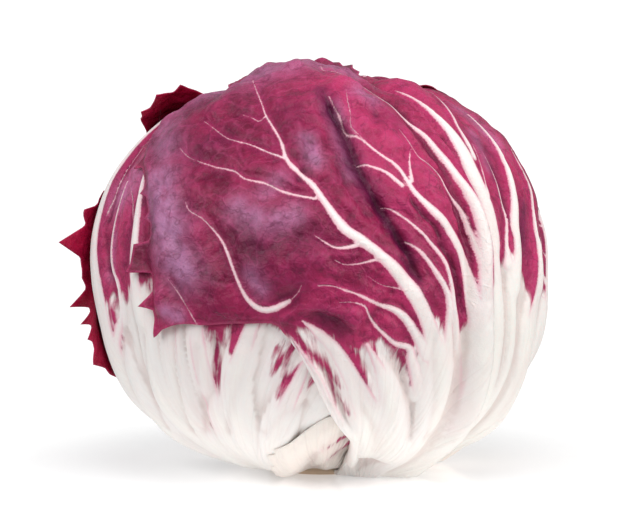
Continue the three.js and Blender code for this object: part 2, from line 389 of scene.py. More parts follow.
def grow_leaf(
    name,
    node,
    material,
    middle,
    corners,
    veins,
    blush,
    stains=(),
    folds=(),
    dusk=(),
    painted_sheen=(),
    rosy=(),
    lifts=(),
    flares=(),
    tips=(),
    arcs=(),
    level=-2.0,
    foot=4.0,
    grain=0.95,
    flutes=(9, 1.0),
    crumple=1.0,
    thick=(0.35, 0.6, 1.7),
    frill=1.0,
    seed=1,
):
    """One leaf, laid over those before it, as a closed sheet with its veins raised on the outside.

    Places are azimuth and elevation in degrees, and the rest is in millimetres. Corners go round
    the leaf from its base and back. Blush is the line that the red begins at, from the leaf's
    left to its right. Each vein is (places from base to tip, widths along it) and maybe a height
    factor; each stain is red that runs into the white, and each fold is (places, (depth, reach)
    on its left, (depth, reach) on its right), and a fold that sinks gets painted shade along its
    valley. Dusk patches are darker: dark pigment, and painted shade where creases fall. Sheen
    patches are a paler violet painted sheen that stands in for the lamps' reflection, and rosy
    patches are pinker. Lifts raise the leaf (azimuth, elevation, radius, height), and flares turn
    its margin out (azimuth, elevation, radius, height, reach). Tips are single teeth (azimuth,
    elevation, half width) and arcs are runs of them (start, end, depth). Level is how far the leaf
    lies over the head's outside, and foot is its lowest height over the ground.
    """
    axes = leaf_axes(middle)
    smooth = line_through(corners, 0.6, closed=True)
    outline = toothed(smooth, axes, tips, arcs, seed)
    ribs = [(line_through(places), widths) for places, widths, *_ in veins]
    creases = [line_through(places) for places, *_ in folds]
    points, triangles = leaf_points(outline, [r[0] for r in ribs] + creases, axes, grain)
    d = wrapped(points, axes)
    place = d * ROUND

    base = flattened(unit(toward([corners[0], corners[-1]]).mean(axis=0))[None], axes)[0]
    from_base = points - base
    along = np.hypot(*from_base.T)
    fan = np.arctan2(from_base[:, 0], from_base[:, 1])

    # White ribs, the red blade, and the places on it that are darker (dark pigment, and painted
    # shade in creases) or paler violet (painted sheen).
    rib = np.full(len(d), -12.0)
    raised = np.zeros(len(d))
    for (line, widths), vein in zip(ribs, veins):
        away, run, _ = nearest(d, line, VEIN_SEARCH)
        width = np.maximum(spaced(vein[0], widths, run), 0.2)
        rib = np.maximum(rib, RIB_WHITE * width - RIB_EDGE - away)
        tall = vein[2] if len(vein) > 2 else 1.0
        off = np.clip(away / (0.70 * width + 0.45), 0, 1)
        wide = smoothstep(2.5, 6, width)
        shape = (1 - wide) * (1 - smoothstep(0, 1, off)) + wide * np.sqrt(1 - off * off)
        raised = np.maximum(raised, tall * RIB_HEIGHT * width**RIB_SWELL * shape)
    away, run, side = nearest(d, line_through(blush, 2.0), 300)
    red = side * away
    for places, widths in stains:
        away, run, _ = nearest(d, line_through(places), VEIN_SEARCH)
        red = np.maximum(red, np.where(away < 100, spaced(places, widths, run) / 2 - away, -99))
    dark, sheen, pinker = patches(d, dusk), patches(d, painted_sheen), patches(d, rosy)

    # Folds, flutes and the crumpled blade.
    margin, margin_run, _ = nearest(d, np.concatenate((smooth[::4], smooth[:1])), 300)
    within = inside(points, flattened(smooth, axes))
    past = np.where(within, margin, -margin)
    margin = np.where(within, margin, 0)
    rim_mm = nearest(d, unit(wrapped(np.concatenate((outline, outline[:1])), axes)), 300)[0]
    bent = np.zeros(len(d))
    for line, (_, left, right) in zip(creases, folds):
        away, run, side = nearest(d, line, 45)
        fade = smoothstep(0, 0.12, run) * smoothstep(0, 0.12, 1 - run) * (away < 100)
        mix = 0.5 + 0.5 * np.tanh(side * away / FOLD_EDGE)
        on_left = left[0] * np.exp(-((away / left[1]) ** 1.5))
        on_right = right[0] * np.exp(-((away / right[1]) ** 1.5))
        bent += fade * (mix * on_left + (1 - mix) * on_right)
        # A fold that sinks gets painted shade: a dark line along its valley.
        if min(left[0], right[0]) < 0:
            dark = np.maximum(dark, 0.4 * fade * np.exp(-((away / 1.1) ** 2)))
    ridges, ridge_height = flutes
    wobble = 1.3 * waves(place, 38, seed + 0.4)
    fluted = ridge_height * (0.5 + 0.5 * np.cos(fan * ridges + wobble))
    fluted = fluted * smoothstep(*FLUTES_BEGIN, along)
    fluted *= 1 - smoothstep(*FLUTES_END, along)
    blade = smoothstep(-4, 6, red)
    pillow = smoothstep(0, 5.5, -rib) * blade
    crumpled = crumple * (1.1 * waves(place, 17, seed) + pillow * 0.5)
    dents = 1.1 * np.abs(waves(place, 9, seed + 0.7)) + 0.6 * np.abs(waves(place, 4.5, seed + 0.9))
    crumpled += crumple * blade * smoothstep(0, 3, -rib) * dents
    broad = 1.6 * waves(place, 46, seed + 0.2) * crumple
    ruffle = waves(np.stack((margin_run * 190, place[:, 0] * 0, place[:, 0] * 0), axis=1), 9, seed)
    ruffle = frill * (0.9 + 1.5 * ruffle) * np.exp(-margin / 3.5) * blade

    # The sheet rests on the leaves under it and tucks its margin down on them.
    low = points.min(axis=0) - 4
    size = np.ceil((points.max(axis=0) + 4 - low) / CELL).astype(int) + 1
    cells = np.stack(np.meshgrid(*(np.arange(n) for n in size), indexing="ij"), axis=-1)
    spots = wrapped(cells.reshape(-1, 2) * CELL + low, axes)
    core = above(head_radius(spots) + level - 6, spots, foot + 3)
    under = np.maximum(laid_radius(spots), core).reshape(size)
    under = neighbours(under).max(axis=0)
    for _ in range(3):
        under = neighbours(under).mean(axis=0)
    grid = (points - low) / CELL
    cell = np.floor(grid).astype(int)
    part = grid - cell
    floor = sum(
        (part[:, 0] if i else 1 - part[:, 0])
        * (part[:, 1] if j else 1 - part[:, 1])
        * under[cell[:, 0] + i, cell[:, 1] + j]
        for i in (0, 1)
        for j in (0, 1)
    )
    thin, middling, fleshy = thick
    thickness = thin + (middling - thin) * smoothstep(0, 5, margin)
    thickness += (fleshy - middling) * (1 - smoothstep(*FLESHY_BASE, along))
    wanted = above(head_radius(d) + level, d, foot) + bent + broad
    wanted -= TUCK * (1 - smoothstep(0, TUCK_WIDTH, margin)) * smoothstep(*LOOSE_BASE, along)
    lowest = floor + LEAF_GAP + thickness - RIM_DROP * (1 - smoothstep(0, RIM_WIDTH, margin))
    over = wanted - lowest
    radius = lowest + 0.5 * (over + np.sqrt(over * over + 0.8))
    for azimuth, elevation, wide, height in lifts:
        gone = ROUND * np.arccos(np.clip(d @ toward([(azimuth, elevation)])[0], -1, 1))
        radius += height * (1 - smoothstep(0, wide, gone))
    for azimuth, elevation, across, height, reach in flares:
        gone = ROUND * np.arccos(np.clip(d @ toward([(azimuth, elevation)])[0], -1, 1))
        turned = np.clip(1 - past / reach, 0, 4)
        radius += height * turned**1.3 * (1 - smoothstep(0.6 * across, across, gone))
    radius += np.maximum(ruffle, 0)
    relief = np.maximum(fluted + crumpled - crumpled.min() * 0.25, 0)
    relief = relief * smoothstep(0, 4, margin) + raised
    outer = above(radius + relief, d, LOWEST)
    inner = outer - relief - thickness
    inner = np.maximum(inner, np.minimum(floor + 0.05, outer - 0.2))

    # What is laid now is what the next leaf rests on.
    heights = np.zeros(size)
    spot = np.round((points - low) / CELL).astype(int)
    np.maximum.at(heights, (spot[:, 0], spot[:, 1]), outer)
    filled = neighbours(heights).max(axis=0)
    heights = np.where(heights == 0, filled, heights)
    laid.append((axes, low, heights))

    # How far each place lies under or over the surface around it; the tissue paints shade into the
    # hollows and a highlight onto the ridges from this.
    count = len(points)
    ends = np.concatenate((triangles[:, (0, 1)], triangles[:, (1, 2)], triangles[:, (2, 0)]))
    links_of = np.maximum(np.bincount(ends.ravel(), minlength=count), 1)
    evened, hollow = outer.copy(), -outer
    for step in range(EVEN_STEPS):
        summed = np.bincount(ends[:, 0], evened[ends[:, 1]], count)
        summed += np.bincount(ends[:, 1], evened[ends[:, 0]], count)
        evened = 0.4 * evened + 0.6 * summed / links_of
        if step == FINE_STEP:
            hollow = hollow + evened
    hollow = hollow + 0.5 * (evened - outer)
    hollow *= smoothstep(0, 3, margin)

    # The outer and inner faces, joined round the margin.
    code = ends.min(axis=1) * count + ends.max(axis=1)
    _, first, uses = np.unique(code, return_index=True, return_counts=True)
    rim = ends[first[uses == 1]]
    faces = np.concatenate(
        (
            triangles,
            triangles[:, ::-1] + count,
            np.stack((rim[:, 1], rim[:, 0], rim[:, 0] + count), axis=1),
            np.stack((rim[:, 1], rim[:, 0] + count, rim[:, 1] + count), axis=1),
        )
    )
    shell = np.concatenate((CENTRE + d * outer[:, None], CENTRE + d * inner[:, None])) * MM
    mesh = bpy.data.meshes.new(name)
    mesh.from_pydata(shell.tolist(), [], faces.tolist())
    mesh.polygons.foreach_set("use_smooth", np.ones(len(faces), bool))
    inner_face = np.concatenate((np.zeros(count), np.ones(count)))
    for title, values in (
        ("rib", rib),
        ("red", red),
        ("dusk", dark),
        ("painted_sheen", sheen),
        ("rosy", pinker),
        ("hollow", hollow),
        ("margin", rim_mm),
    ):
        layer = mesh.attributes.new(title, "FLOAT", "POINT")
        layer.data.foreach_set("value", np.tile(values, 2).astype(np.float32))
    layer = mesh.attributes.new("inner", "FLOAT", "POINT")
    layer.data.foreach_set("value", inner_face.astype(np.float32))
    corner_of = np.empty(len(mesh.loops), np.int32)
    mesh.loops.foreach_get("vertex_index", corner_of)
    spread = np.tile(np.stack((fan * 0.4, along * 0.01), axis=1), (2, 1))
    mesh.uv_layers.new(name="blade").data.foreach_set("uv", spread[corner_of].ravel())
    mesh.update()
    mesh.materials.append(material)
    leaf = bpy.data.objects.new(name, mesh)
    bpy.context.scene.collection.objects.link(leaf)
    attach(leaf, "root")
    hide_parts(node)
    return leaf


def grown_veins(middle, corners, base_width, seed, pairs=7):
    """A midrib with side ribs that leave it at sharp angles and curve out, for a whole leaf."""
    random = np.random.default_rng(seed)
    axes = leaf_axes(middle)
    outline = flattened(line_through(corners, 2.0, closed=True), axes)
    base = flattened(unit(toward([corners[0], corners[-1]]).mean(axis=0))[None], axes)[0]
    heading = math.atan2(-base[0], -base[1])
    veins = []

    def run(start, angle, bend, widths, level):
        at, path = np.array(start, float), [start]
        for step in range((40, 30, 7)[level]):
            angle += bend + random.normal(0, 0.035)
            at = at + 4.5 * np.array((math.sin(angle), math.cos(angle)))
            if not inside(at[None], outline)[0] or np.hypot(*(outline - at).T).min() < 3.5:
                break
            path.append(at.copy())
        if len(path) > 2:
            veins.append((wrapped(np.array(path), axes), widths))
            if level == 1:
                for n in range(2, len(path) - 1, 3):
                    sign = 1 if (n // 3) % 2 else -1
                    here = np.array(path[n]) - np.array(path[n - 1])
                    branch = math.atan2(here[0], here[1]) + sign * random.uniform(0.5, 0.8)
                    thin = widths[0] * max(0.34 - 0.02 * n, 0.1)
                    run(path[n], branch, -sign * 0.05, (thin, thin * 0.6, 0.5), level + 1)
        return path

    spine = run(base, heading, 0.0, (base_width, base_width * 0.6, base_width * 0.25, 1.0), 0)
    for k in range(pairs):
        share = k / pairs
        at = spine[min(int(share * (len(spine) - 1)), len(spine) - 1)]
        for sign in (-1, 1):
            angle = heading + sign * (0.30 + 0.34 * share + random.uniform(-0.05, 0.05))
            width = base_width * (0.62 - 0.4 * share)
            bend = sign * (0.055 - 0.075 * share)
            run(at, angle, bend, (width, width * 0.62, width * 0.34, 0.7), 1)
    return veins


# The tissue of a leaf, as one group: white rib flesh, red blade and fine net of veins, with
# painted sheen, painted shade in hollows, creases and grooves, and painted highlights on ridges
# and margins.
tissue = bpy.data.node_groups.new("leaf_tissue", "ShaderNodeTree")
sockets = tissue.interface
for title, kind in (
    ("Deep red", "NodeSocketColor"),
    ("Light red", "NodeSocketColor"),
    ("Flesh", "NodeSocketColor"),
    ("Feather", "NodeSocketFloat"),
):
    sockets.new_socket(name=title, in_out="INPUT", socket_type=kind)
for title, kind in (
    ("Color", "NodeSocketColor"),
    ("Roughness", "NodeSocketFloat"),
    ("Height", "NodeSocketFloat"),
):
    sockets.new_socket(name=title, in_out="OUTPUT", socket_type=kind)

tn, tl = tissue.nodes, tissue.links
given = tn.new("NodeGroupInput")
result = tn.new("NodeGroupOutput")


def read(title):
    node = tn.new("ShaderNodeAttribute")
    node.attribute_name = title
    return node.outputs["Fac"]


def maths(operation, a, b=None):
    node = tn.new("ShaderNodeMath")
    node.operation = operation
    for slot, value in zip(node.inputs, (a, b)):
        if value is None:
            continue
        if isinstance(value, (int, float)):
            slot.default_value = value
        else:
            tl.new(value, slot)
    return node.outputs[0]


def times(a, b):
    return maths("MULTIPLY", a, b)


def plus(a, b):
    return maths("ADD", a, b)


def ramp(value, low, high, out_low=0.0, out_high=1.0):
    node = tn.new("ShaderNodeMapRange")
    node.interpolation_type = "SMOOTHSTEP"
    node.inputs["From Min"].default_value = low
    node.inputs["From Max"].default_value = high
    node.inputs["To Min"].default_value = out_low
    node.inputs["To Max"].default_value = out_high
    tl.new(value, node.inputs["Value"])
    return node.outputs[0]


def blend(share, a, b):
    node = tn.new("ShaderNodeMix")
    node.data_type = "RGBA"
    for slot, value in ((node.inputs[0], share), (node.inputs[6], a), (node.inputs[7], b)):
        if isinstance(value, (int, float, tuple)):
            slot.default_value = value
        else:
            tl.new(value, slot)
    return node.outputs[2]


uv = tn.new("ShaderNodeUVMap")
uv.uv_map = "blade"
solid = tn.new("ShaderNodeTexCoord")


def noise_of(vector, scale, detail, rough=0.55):
    node = tn.new("ShaderNodeTexNoise")
    node.inputs["Scale"].default_value = scale
    node.inputs["Detail"].default_value = detail
    node.inputs["Roughness"].default_value = rough
    tl.new(vector, node.inputs["Vector"])
    return node.outputs["Fac"]


def strands(scale, detail, stretch):
    turn = tn.new("ShaderNodeMapping")
    turn.inputs["Scale"].default_value = (1, stretch, 1)
    tl.new(uv.outputs[0], turn.inputs["Vector"])
    return noise_of(turn.outputs[0], scale, detail)


def even(size_mm, detail, rough=0.55):
    return noise_of(solid.outputs["Object"], 1000 / size_mm, detail, rough)


def centred(value):
    return maths("SUBTRACT", value, 0.5)


rib_mm, red_mm, dusk_at, sheen_at = read("rib"), read("red"), read("dusk"), read("painted_sheen")
hollow_mm, is_inner = read("hollow"), read("inner")
rosy_at, margin_mm = read("rosy"), read("margin")
streak = strands(60, 4, 0.07)
hair = strands(190, 3, 0.10)
cloud = even(17, 4)
mottle = even(3.6, 5)
speck = even(0.5, 3)
rill = maths("MINIMUM", maths("ABSOLUTE", centred(strands(30, 2, 0.035))), 0.10)  # lengthwise
feather = times(centred(streak), given.outputs["Feather"])
fine = times(centred(hair), 2.2)
reach_red = plus(plus(red_mm, feather), fine)
is_red = ramp(reach_red, -0.8, 1.2)
edge_noise = times(centred(speck), 0.55)
edge_noise = plus(edge_noise, times(centred(mottle), 0.6))
vein_at = plus(rib_mm, edge_noise)
is_rib = ramp(vein_at, -0.18, 0.26)
near_rib = ramp(rib_mm, -2.6, 0.1)

# Two nets of fine veins, from the edges between cells.
nets = []
for scale, width in ((95, 0.05), (290, 0.07)):
    cells = tn.new("ShaderNodeTexVoronoi")
    cells.feature = "DISTANCE_TO_EDGE"
    cells.inputs["Scale"].default_value = scale
    shift = tn.new("ShaderNodeTexNoise")
    shift.inputs["Scale"].default_value = 160
    tl.new(solid.outputs["Object"], shift.inputs["Vector"])
    moved = tn.new("ShaderNodeVectorMath")
    moved.operation = "MULTIPLY_ADD"
    moved.inputs[1].default_value = (0.006, 0.006, 0.006)
    tl.new(shift.outputs["Color"], moved.inputs[0])
    tl.new(solid.outputs["Object"], moved.inputs[2])
    tl.new(moved.outputs[0], cells.inputs["Vector"])
    nets.append(ramp(cells.outputs["Distance"], 0.0, width, 1.0, 0.0))
net = maths("MAXIMUM", nets[0], times(nets[1], 0.6))

# Painted shade by how deep a place lies in a hollow, and painted highlight by how far it stands
# proud.
hollow_shade = ramp(hollow_mm, 0.05, 1.1)
ridge_highlight = ramp(hollow_mm, -0.05, -1.0)
deep_share = ramp(plus(cloud, times(centred(mottle), 0.45)), 0.34, 0.66)
blade = blend(deep_share, given.outputs["Deep red"], given.outputs["Light red"])
blade = blend(times(rosy_at, ramp(mottle, 0.2, 0.7, 0.4, 0.85)), blade, (0.52, 0.035, 0.135, 1))
blade = blend(times(net, 0.22), blade, (0.54, 0.06, 0.20, 1))
blade = blend(times(near_rib, 0.34), blade, (0.50, 0.03, 0.15, 1))
at_edge = ramp(reach_red, 5.0, 0.0)
blade = blend(times(at_edge, 0.45), blade, (0.46, 0.035, 0.13, 1))
# Painted highlight: ridges lighter pink.
blade = blend(times(ridge_highlight, 0.26), blade, (0.52, 0.05, 0.18, 1))
# Painted sheen: pale violet patches that stand in for the lamps' reflection on the waxy blade.
sheen_share = times(sheen_at, ramp(mottle, 0.25, 0.65, 0.45, 1.0))
blade = blend(times(sheen_share, 0.80), blade, (0.50, 0.23, 0.42, 1))
far_in = ramp(red_mm, 0.0, 9.0, 0.3, 1.0)
# Painted shade: the blade darker in its hollows.
blade = blend(times(times(hollow_shade, far_in), 0.62), blade, (0.060, 0.003, 0.020, 1))
# Dusk: dark pigment, and painted shade in creases and pleats.
blade = blend(times(times(dusk_at, far_in), 0.74), blade, (0.080, 0.006, 0.042, 1))
# Painted shade: thin dark lines that stand in for the shade in small creases.
crease_shade_line = maths("MINIMUM", maths("ABSOLUTE", centred(even(8, 3, 0.5))), 0.10)
blade = blend(ramp(crease_shade_line, 0.022, 0.0, 0.0, 0.36), blade, (0.085, 0.004, 0.030, 1))
blade = blend(ramp(speck, 0.60, 0.86, 0.0, 0.10), blade, (0.75, 0.25, 0.42, 1))
# Painted highlight: a pale rim along the margin.
blade = blend(ramp(margin_mm, 0.9, 0.0, 0.0, 0.55), blade, (0.60, 0.07, 0.20, 1))
within = blend(deep_share, (0.28, 0.003, 0.026, 1), (0.50, 0.010, 0.065, 1))
blade = blend(times(is_inner, 0.95), blade, within)

flesh = blend(ramp(hair, 0.35, 0.75, 0.0, 0.14), given.outputs["Flesh"], (0.84, 0.70, 0.68, 1))
flesh = blend(ramp(cloud, 0.40, 0.75, 0.0, 0.30), flesh, (0.90, 0.86, 0.78, 1))
flesh = blend(ramp(rib_mm, 0.5, 3.0, 0.0, 0.5), flesh, (0.90, 0.87, 0.82, 1))
stain_edge = times(ramp(reach_red, -6.0, 0.5), 0.10)
flesh = blend(stain_edge, flesh, (0.75, 0.30, 0.42, 1))
# Painted shade in the lengthwise grooves of the white flesh.
flesh = blend(ramp(rill, 0.03, 0.0, 0.0, 0.14), flesh, (0.72, 0.60, 0.58, 1))
# Painted shade: the white flesh greyer in its hollows.
flesh = blend(times(ramp(hollow_mm, 0.05, 0.9), 0.50), flesh, (0.62, 0.50, 0.47, 1))
# Painted shade: the white flesh greyer where dusk marks folds and creases.
flesh = blend(times(dusk_at, 0.32), flesh, (0.60, 0.42, 0.42, 1))
colour = blend(is_red, flesh, blade)
pink_edge = times(ramp(rib_mm, 1.0, -0.1), ramp(red_mm, -3.0, 1.0))
rib_flesh = blend(pink_edge, flesh, (0.80, 0.44, 0.52, 1))
on_rib = times(is_rib, maths("SUBTRACT", 1.0, times(is_inner, 0.85)))
colour = blend(on_rib, colour, rib_flesh)
tl.new(colour, result.inputs["Color"])

gloss = plus(ramp(mottle, 0.2, 0.8, 0.30, 0.46), times(is_rib, 0.08))
tl.new(gloss, result.inputs["Roughness"])
crinkle = centred(even(7, 4, 0.6))
crease = maths("MINIMUM", maths("ABSOLUTE", centred(even(11, 2, 0.5))), 0.10)
bare = times(is_red, maths("SUBTRACT", 1.0, is_rib))
height = times(centred(mottle), plus(times(bare, 1.0), 0.35))
height = plus(height, times(crinkle, times(bare, 2.4)))
height = plus(height, times(crease, times(bare, 6.5)))
height = plus(height, times(rill, maths("SUBTRACT", 2.6, times(bare, 1.6))))
height = plus(height, times(net, times(is_red, 0.12)))
height = plus(height, times(hair, 0.16))
height = plus(height, times(speck, 0.16))
tl.new(height, result.inputs["Height"])


def leaf_skin(title, deep, light, flesh_colour, feather_mm):
    """A leaf's material: the tissue group in the colours of one kind of leaf."""
    skin_material = bpy.data.materials.new(title)
    skin_material.use_nodes = True
    n, l = skin_material.node_tree.nodes, skin_material.node_tree.links
    shader = n["Principled BSDF"]
    shader.inputs["Subsurface Weight"].default_value = 0.12
    shader.inputs["Subsurface Radius"].default_value = (1.0, 0.45, 0.40)
    shader.inputs["Subsurface Scale"].default_value = 0.0015
    shader.inputs["Specular IOR Level"].default_value = 0.18
    shader.inputs["Coat Weight"].default_value = 0.07
    shader.inputs["Coat Roughness"].default_value = 0.22
    group = n.new("ShaderNodeGroup")
    group.node_tree = tissue
    group.inputs["Deep red"].default_value = deep
    group.inputs["Light red"].default_value = light
    group.inputs["Flesh"].default_value = flesh_colour
    group.inputs["Feather"].default_value = feather_mm
    bump = n.new("ShaderNodeBump")
    bump.inputs["Strength"].default_value = 0.8
    bump.inputs["Distance"].default_value = 0.0008
    l.new(group.outputs["Color"], shader.inputs["Base Color"])
    l.new(group.outputs["Roughness"], shader.inputs["Roughness"])
    l.new(group.outputs["Height"], bump.inputs["Height"])
    l.new(bump.outputs["Normal"], shader.inputs["Normal"])
    return skin_material


packed_skin = leaf_skin(
    "packed_leaf_skin", (0.30, 0.010, 0.075, 1), (0.50, 0.05, 0.17, 1), (0.90, 0.86, 0.78, 1), 14
)

PACKED_CORNERS = (
    (-14, -78), (-50, -46), (-68, -8), (-62, 28), (-38, 56), (0, 68), (38, 56), (62, 28), (68, -8),
    (50, -46), (14, -78),
)
HEART_RADIUS = 12.5

bpy.ops.object.select_all(action="DESELECT")
heart_low, heart_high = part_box("heart")
bpy.ops.mesh.primitive_ico_sphere_add(
    subdivisions=5,
    radius=HEART_RADIUS * MM,
    location=[(a + b) / 2 for a, b in zip(heart_low, heart_high)],
)
heart = bpy.context.object
heart.name = "closed_heart"
bpy.ops.object.transform_apply(location=True, rotation=True, scale=True)
hearts = heart.data
heart_d = unit(np.array([v.co[:] for v in hearts.vertices]) / MM - CENTRE)
turn = np.arctan2(heart_d[:, 0], -heart_d[:, 1])
coil = np.cos(2.5 * turn + 5 * heart_d[:, 2])
swell = 1 + 0.05 * coil + 0.03 * waves(heart_d * ROUND, 14, 3)
for vertex, way, size in zip(hearts.vertices, heart_d, swell):
    vertex.co = (CENTRE + way * HEART_RADIUS * 0.92 * size) * MM
for title, values in (
    ("rib", -2.5 + 3.4 * coil - 5 * heart_d[:, 2]),
    ("red", 12 * heart_d[:, 2]),
):
    hearts.attributes.new(title, "FLOAT", "POINT").data.foreach_set("value", values)
for layer in list(hearts.uv_layers):
    hearts.uv_layers.remove(layer)
loops = np.empty(len(hearts.loops), np.int32)
hearts.loops.foreach_get("vertex_index", loops)
spread = np.stack((turn * 0.2, heart_d[:, 2] * 0.2), axis=1)[loops]
hearts.uv_layers.new(name="blade").data.foreach_set("uv", spread.ravel())
hearts.polygons.foreach_set("use_smooth", np.ones(len(hearts.polygons), bool))
hearts.materials.append(packed_skin)
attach(heart, "root")
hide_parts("heart")

PACKED_LEAVES = 11
PACKED_LEVEL, PACKED_PITCH = -10.5, 4.05  # how far the outermost lies in, and the next ones
PACKED_FOOT, PACKED_FOOT_PITCH = 10, 3.05
GOLDEN_ANGLE = 137.5
for k in reversed(range(PACKED_LEAVES)):
    turned = k * GOLDEN_ANGLE
    places = [(azimuth + turned, elevation) for azimuth, elevation in PACKED_CORNERS]
    grow_leaf(
        f"inner_leaf_{k + 1:02d}",
        f"packed_leaf_{k + 1:02d}",
        packed_skin,
        (turned, 2),
        places,
        grown_veins((turned, 2), places, 9, 40 + k, pairs=5),
        [(turned - 70, -22), (turned - 25, -4), (turned, 8), (turned + 25, -4), (turned + 70, -22)],
        arcs=[((turned - 60, 30), (turned + 60, 30), 3.0)],
        level=PACKED_LEVEL - PACKED_PITCH * k,
        foot=PACKED_FOOT + PACKED_FOOT_PITCH * k,
        grain=2.6,
        flutes=(5, 1.0),
        crumple=0.7,
        seed=20 + k,
    )

# ---------------------------------------------------------------------------------------------
# The wrapper leaves: six broad leaves folded round the head, each over the last. The blade is
# waxy and wine red, with a toothed margin, and the ribs are thick, white and raised outside.

wrapper_skin = leaf_skin(
    "wrapper_leaf_skin",
    (0.130, 0.004, 0.030, 1),
    (0.275, 0.012, 0.065, 1),
    (0.86, 0.825, 0.80, 1),
    8,
)
rosy_skin = leaf_skin(
    "rosy_leaf_skin", (0.200, 0.007, 0.045, 1), (0.450, 0.026, 0.115, 1), (0.88, 0.85, 0.815, 1), 8
)

BACK = (
    (150, -77), (130, -48), (120, -5), (124, 38), (142, 66), (200, 76), (232, 60), (238, 28),
    (236, -12), (218, -50), (195, -77),
)
grow_leaf(
    "back_leaf",
    "leaf_back",
    wrapper_skin,
    (178, 8),
    BACK,
    grown_veins((178, 8), BACK, 11, 5),
    [(112, -28), (140, -16), (165, -2), (180, 2), (196, -2), (220, -14), (246, -26)],
    arcs=[((120, -5), (236, -12), 4.0)],
    level=-4.0,
    foot=6.0,
    seed=2,
)

FAR_RIGHT = (
    (74, -77), (58, -50), (50, -15), (54, 20), (62, 48), (92, 68), (130, 62), (150, 32), (152, -8),
    (142, -48), (128, -77),
)
grow_leaf(
    "far_right_leaf",
    "leaf_far_right",
    wrapper_skin,
    (102, 5),
    FAR_RIGHT,
    grown_veins((102, 5), FAR_RIGHT, 11, 11)
    + [
        ([(74, -60), (70, -30), (70, -14), (73, -6), (76, 0), (80, 8)], (9, 7, 5, 3.4, 2, 0.8)),
        ([(84, -60), (82, -20), (83, 0), (86, 12), (87, 20), (90, 34)], (9, 6, 4, 3, 2, 0.6)),
    ],
    [(40, -12), (60, -6), (75, -5), (88, -8), (104, 0), (128, -12), (160, -26)],
    stains=[([(74, -2), (73, -8)], (2.4, 1.4))],
    level=-3.0,
    foot=5.5,
    seed=3,
)

